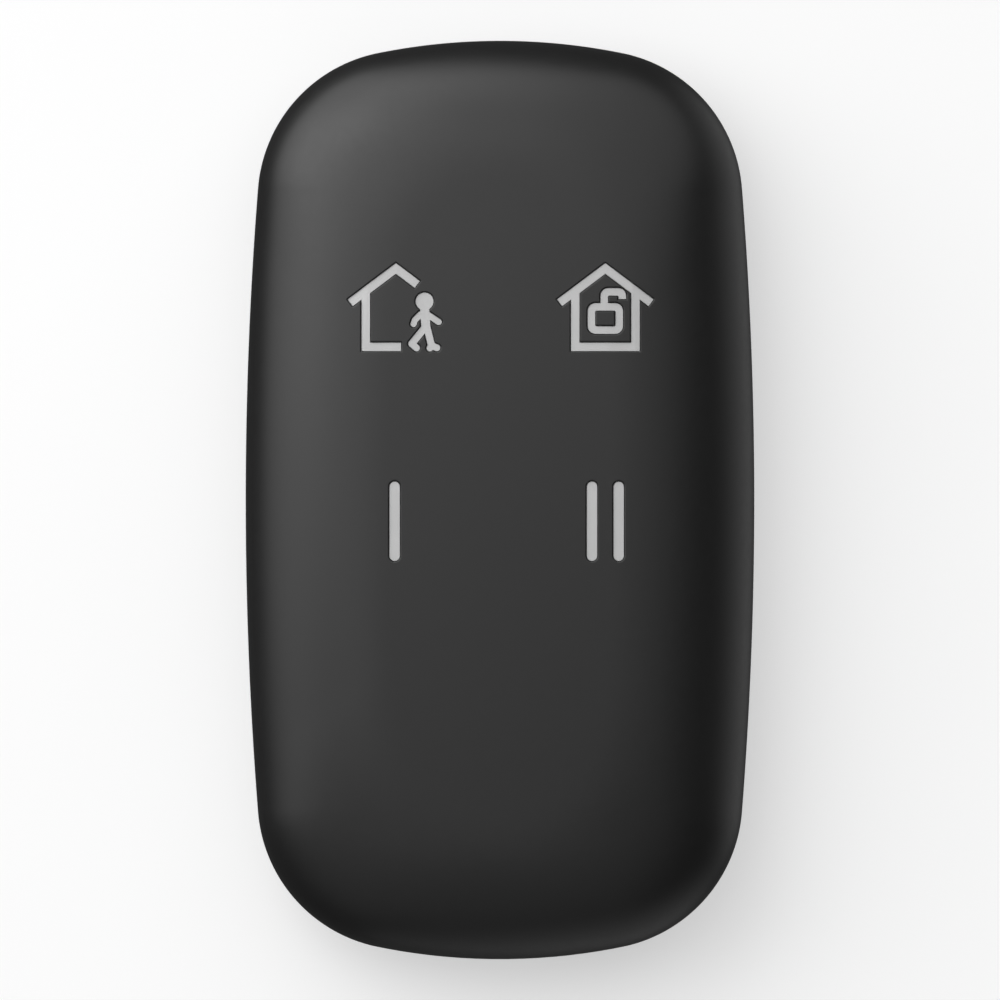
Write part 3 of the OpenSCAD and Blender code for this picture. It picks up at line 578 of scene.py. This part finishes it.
# the front face and the one a wall below it, over a plan that is cut along the zones and symbols
def buildSkin():
    middle = np.array(skinForm["middle"])
    low, high = (np.array(keys[key][0]) for key in ("one", "disarm"))  # lower left and upper right

    # lines along one axis: wide apart, but fine across the symbols, with one on each zone's border
    def keyLines(axis):
        near, zone, end = skinForm["symbol"][axis], skinForm["zone"], skinForm["field"][axis]
        fine, wide = skinForm["fine"], skinForm["wide"]
        stops, steps = [middle[axis] - end], [wide]
        for key in (low[axis], high[axis]):
            stops += [key - zone, key - near, key + near, key + zone]
            steps += [wide, fine, wide, wide]
        return gradedLines(*zip(stops, stops[1:] + [middle[axis] + end], steps))

    plan, quads = planGrid(keyLines(0), keyLines(1), lambda p: outlineRim(p, middle), skinForm["rings"])
    zones = [zoneAt(place) for place, _ in keys.values()]
    symbols = [symbolAt(*key) for key in keys.values()]
    points, triangles, inside = cutPlan(plan, quads, zones + symbols)

    def nearest(p):
        return joined(*(symbol(p) for symbol in symbols))

    # the front, less the rounding along the cuts
    def outside(p):
        z, slope = frontHeight(p)
        drop, steep = roundedEdge(nearest(p), skinForm["edge"])
        return z - drop, slope - steep[:, None] * slopeOf(nearest, p)

    def under(p):
        return frontHeight(p, skinForm["wall"])

    # the triangles of one piece as its upper face, its lower face and the walls of its holes and border
    def shell(name, mine, hole):
        apart, whole = np.where(mine, 0, 1), np.zeros(mine.sum(), int)
        upper = raiseSheet(points, triangles, apart, [outside, under], [1], [hole], facing=1)
        lower = raiseSheet(points, triangles[mine], whole, [under], [], [], facing=-1)
        piece = makePiece(name, [upper, lower])
        dress(piece, "soft_skin")
        return piece

    inZone, inSymbol = inside[:, :len(keys)], inside[:, len(keys):]
    skin = shell("frontSkin", ~inZone.any(1), lambda p: joined(*(zone(p) for zone in zones)))
    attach(skin, "housing")
    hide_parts("front_skin")
    for number, (key, (place, _)) in enumerate(keys.items()):
        zone, symbol = zones[number], symbols[number]
        pad = shell("keyPad_" + key, inZone[:, number] & ~inSymbol[:, number],
                    lambda p: np.minimum(symbol(p), -zone(p)))
        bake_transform(pad)
        spots = np.zeros(len(pad.data.vertices) * 3)
        pad.data.vertices.foreach_get("co", spots)
        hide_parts("key_pad_" + key)


buildSkin()

# rear shell: flat back with the cap's bay, screw holes, marks and the key ring notch sunk in it
rearForm = {
    "line": 0.24, "rings": 18, "zone": (13.3, 26.4),  # grid spacing, rings to the rim, the grid's reach
    "wall": 1.4,
    "bayMiddle": (0.0, -8.5), "bay": 12.55, "bayFloor": 2.3, "bayOut": 13.65,  # radii and height
    "ledge": 11.15, "ledgeTop": 3.1,
    "screws": [(x, y) for x in (-10.5, 10.5) for y in (-24.0, 24.0)],
    "hole": 1.9, "holeFloor": 1.6, "post": 2.8, "postTop": 2.9,
    "mark": 0.6, "markFar": 13.67, "markTurns": (90, 30), "markFloor": 0.3,
    "notchHalf": 4.0, "notchEnd": -24.1, "notchRoof": 4.4, "notchWall": 0.6,
    "edge": 0.25,  # rounding of the holes' edges
}


# each triangle's label: 0 outside the given fields, else the number of the last one that it is in
def labelled(inside, columns):
    labels = np.zeros(len(inside), int)
    for number, column in enumerate(columns, 1):
        labels[inside[:, column]] = number
    return labels


# a face that is level all over
def flat(level):
    return lambda p: (np.full(len(p), level), np.zeros((len(p), 2)))


# the back with its sunk places and the inner face with its raised ones, over a plan that is cut along them
def buildRear():
    middle = np.array([0.0, 0.0])
    reachX, reachY = rearForm["zone"]
    line = rearForm["line"]
    plan, quads = planGrid(
        gradedLines((-reachX, reachX, line)), gradedLines((-reachY, reachY, line)),
        lambda p: outlineRim(p, middle), rearForm["rings"])
    turns = np.radians(rearForm["markTurns"])
    toMarks = rearForm["markFar"] * np.stack([np.cos(turns), np.sin(turns)], 1)
    marks = np.array(rearForm["bayMiddle"]) + toMarks

    def discs(middles, radius):
        return lambda p: joined(*(discField(p, spot, radius) for spot in middles))

    # the notch, wider by the spare
    def box(spare):
        half = rearForm["notchHalf"] + spare
        return lambda p: boxField(p, [-half, -2 * reachY], [half, rearForm["notchEnd"] + spare])

    bay = discs([rearForm["bayMiddle"]], rearForm["bay"])
    ledge = discs([rearForm["bayMiddle"]], rearForm["ledge"])
    holes = discs(rearForm["screws"], rearForm["hole"])
    dots = discs(marks, rearForm["mark"])
    notch = box(0)
    boss = discs([rearForm["bayMiddle"]], rearForm["bayOut"])
    posts = discs(rearForm["screws"], rearForm["post"])
    hood = box(rearForm["notchWall"])
    fields = [bay, ledge, holes, dots, notch, boss, posts, hood]
    points, triangles, inside = cutPlan(plan, quads, fields)

    def nearest(p):
        return joined(bay(p), holes(p), dots(p), notch(p))

    # the rear, less the rounding along the holes
    def back(p):
        z, slope = rearHeight(p)
        drop, steep = roundedEdge(nearest(p), rearForm["edge"])
        z = np.minimum(z + drop, caseForm["rearTop"])
        return z, slope + steep[:, None] * slopeOf(nearest, p)

    # the notch's roof, which follows the rear where that is higher
    def roof(p):
        z, slope = rearHeight(p)
        low = z < rearForm["notchRoof"]
        return np.where(low, rearForm["notchRoof"], z), np.where(low[:, None], 0, slope)

    def within(p):
        return rearHeight(p, rearForm["wall"])

    outer = raiseSheet(
        points, triangles, labelled(inside, (0, 1, 2, 3, 4)),
        [back, flat(rearForm["bayFloor"]), flat(rearForm["ledgeTop"]), flat(rearForm["holeFloor"]),
         flat(rearForm["markFloor"]), roof],
        [2], [bay, ledge, holes, dots, notch], facing=-1)
    kept = ~inside[:, 1]
    inner = raiseSheet(
        points, triangles[kept], labelled(inside[kept], (5, 6, 7)),
        [within, flat(rearForm["ledgeTop"]), flat(rearForm["postTop"]), flat(caseForm["rearTop"])],
        [], [boss, posts, hood], facing=1)
    piece = makePiece("rearShell", [outer, inner])
    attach(piece, "housing")
    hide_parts("rear_shell")
    dress(piece, "rear_plastic")


buildRear()

# stage: pale floor, a studio dome of round soft lights with a near softbox, and a long lens straight above
stageForm = {
    "floor": 1.6, "floorColour": 0.9, "floorRough": 0.9, "floorGloss": 0.1, "floorMottle": (40, 0.01),
    # the camera sees a share of white in the floor, which grows from the third number at the first
    # distance to the fourth at the second
    "floorFade": (0.045, 0.12, 0.5, 1.0),
    # each light's turn from +X and height in degrees, radius that is full, radius where it ends, brightness
    "lights": {
        "wall": (137.8, 15.6, 31.6, 54.7, 2.04), "fill": (74.5, 43.2, 38, 46, 0.92),
        "low": (228, 57, 2, 73, 0.31)},
    "rimLights": {"right": (13.7, -25.9, 0, 42.5, 0.53), "lower": (292.6, -18.8, 4, 43, 0.365)},
    "horizon": (-0.284, -0.237),  # the first lights end between these heights of the dome
    "dome": 0.067,  # brightness between all of them
    "softbox": (148.7, 47.9, 258.0),  # turn, height, distance
    "softboxSize": (191.0, 400.0), "softboxLight": 1.13,
    "lens": 1000.0, "sensor": 36.0, "frame": 70.77, "look": (0.0, 0.0, 5.2), "clip": (0.05, 20),
}


# the way to a place at the given turn from +X and height, in degrees
def wayTo(turn, height):
    turn, height = np.radians([turn, height])
    return Vector((np.cos(height) * np.cos(turn), np.cos(height) * np.sin(turn), np.sin(height)))


# a sum, product or the like of two sockets, or of a socket and a number
def combined(tree, operation, first, second):
    node = tree.nodes.new("ShaderNodeMath")
    node.operation = operation
    for socket, value in zip(node.inputs, (first, second)):
        if isinstance(value, float):
            socket.default_value = value
        else:
            tree.links.new(value, socket)
    return node.outputs["Value"]


# a soft step from start to end, as the value goes from low to high
def softStep(tree, value, low, high, start, end):
    node = tree.nodes.new("ShaderNodeMapRange")
    node.interpolation_type = "SMOOTHSTEP"
    for name, number in zip(("From Min", "From Max", "To Min", "To Max"), (low, high, start, end)):
        node.inputs[name].default_value = number
    tree.links.new(value, node.inputs["Value"])
    return node.outputs["Result"]


# the first shader, turning into the second by the share
def mixedShader(tree, share, first, second):
    node = tree.nodes.new("ShaderNodeMixShader")
    for socket, value in zip(node.inputs, (share, first, second)):
        tree.links.new(value, socket)
    return node.outputs["Shader"]


def buildFloor():
    reach = stageForm["floor"]
    mesh = bpy.data.meshes.new("floor")
    sides = ((-reach, -reach, 0), (reach, -reach, 0), (reach, reach, 0), (-reach, reach, 0))
    mesh.from_pydata(sides, [], [(0, 1, 2, 3)])
    floor = bpy.data.objects.new("floor", mesh)
    bpy.context.scene.collection.objects.link(floor)
    pale = Finish("paleFloor", (stageForm["floorColour"],) * 3, stageForm["floorRough"])
    pale.mottle(*stageForm["floorMottle"])
    pale.shader.inputs["Specular IOR Level"].default_value = stageForm["floorGloss"]
    tree = pale.material.node_tree
    far = tree.nodes.new("ShaderNodeVectorMath")
    far.operation = "LENGTH"
    tree.links.new(pale.coords, far.inputs[0])
    seen = tree.nodes.new("ShaderNodeLightPath").outputs["Is Camera Ray"]
    share = combined(tree, "MULTIPLY", softStep(tree, far.outputs["Value"], *stageForm["floorFade"]), seen)
    white = tree.nodes.new("ShaderNodeEmission").outputs["Emission"]
    tree.links.new(mixedShader(tree, share, pale.shader.outputs["BSDF"], white),
                   tree.nodes["Material Output"].inputs["Surface"])
    mesh.materials.append(pale.material)
    floor.visible_glossy = False  # the soft skin mirrors the dome's lower half instead


def buildDome():
    world = bpy.data.worlds.new("studioDome")
    bpy.context.scene.world = world
    world.use_nodes = True
    tree = world.node_tree
    tree.nodes.clear()
    way = tree.nodes.new("ShaderNodeTexCoord").outputs["Generated"]

    # brightness of one round light, from the cosine of the angle to its middle
    def glow(turn, height, full, end, level):
        near = tree.nodes.new("ShaderNodeVectorMath")
        near.operation = "DOT_PRODUCT"
        near.inputs[1].default_value = wayTo(turn, height)
        tree.links.new(way, near.inputs[0])
        edge, core = np.cos(np.radians([end, full]))
        return softStep(tree, near.outputs["Value"], edge, core, 0, level)

    upper, total = 0.0, stageForm["dome"]
    for form in stageForm["lights"].values():
        upper = combined(tree, "ADD", upper, glow(*form))
    for form in stageForm["rimLights"].values():
        total = combined(tree, "ADD", total, glow(*form))
    height = tree.nodes.new("ShaderNodeSeparateXYZ")
    tree.links.new(way, height.inputs["Vector"])
    ground = softStep(tree, height.outputs["Z"], *stageForm["horizon"], 0, 1)
    light = tree.nodes.new("ShaderNodeBackground")
    light.inputs["Color"].default_value = (1, 1, 1, 1)
    strength = combined(tree, "ADD", combined(tree, "MULTIPLY", upper, ground), total)
    tree.links.new(strength, light.inputs["Strength"])
    white = tree.nodes.new("ShaderNodeBackground")
    white.inputs["Color"].default_value = (1, 1, 1, 1)
    ray = tree.nodes.new("ShaderNodeLightPath").outputs
    share = combined(tree, "MAXIMUM", ray["Is Camera Ray"], ray["Is Transmission Ray"])
    tree.links.new(mixedShader(tree, share, light.outputs["Background"], white.outputs["Background"]),
                   tree.nodes.new("ShaderNodeOutputWorld").inputs["Surface"])


def buildSoftbox():
    lamp = bpy.data.lights.new("softbox", "AREA")
    lamp.shape = "RECTANGLE"
    lamp.size, lamp.size_y = (side * mm for side in stageForm["softboxSize"])
    lamp.energy = stageForm["softboxLight"] * np.pi * lamp.size * lamp.size_y  # in watts
    softbox = bpy.data.objects.new("softbox", lamp)
    turn, height, distance = stageForm["softbox"]
    softbox.location = wayTo(turn, height) * distance * mm
    softbox.rotation_euler = softbox.location.to_track_quat("Z", "Y").to_euler()
    softbox.visible_camera = False
    bpy.context.scene.collection.objects.link(softbox)


def buildCamera():
    lens = bpy.data.cameras.new("longLens")
    lens.lens, lens.sensor_width = stageForm["lens"], stageForm["sensor"]
    distance = stageForm["frame"] * stageForm["lens"] / stageForm["sensor"]
    lens.clip_start, lens.clip_end = stageForm["clip"]
    camera = bpy.data.objects.new("camera", lens)
    camera.location = (Vector(stageForm["look"]) + Vector((0, 0, distance))) * mm
    bpy.context.scene.collection.objects.link(camera)
    bpy.context.scene.camera = camera
    bpy.context.scene.view_settings.view_transform = "Standard"
    print("stage: camera", round(distance), "mm above")


buildFloor()
buildDome()
buildSoftbox()
buildCamera()
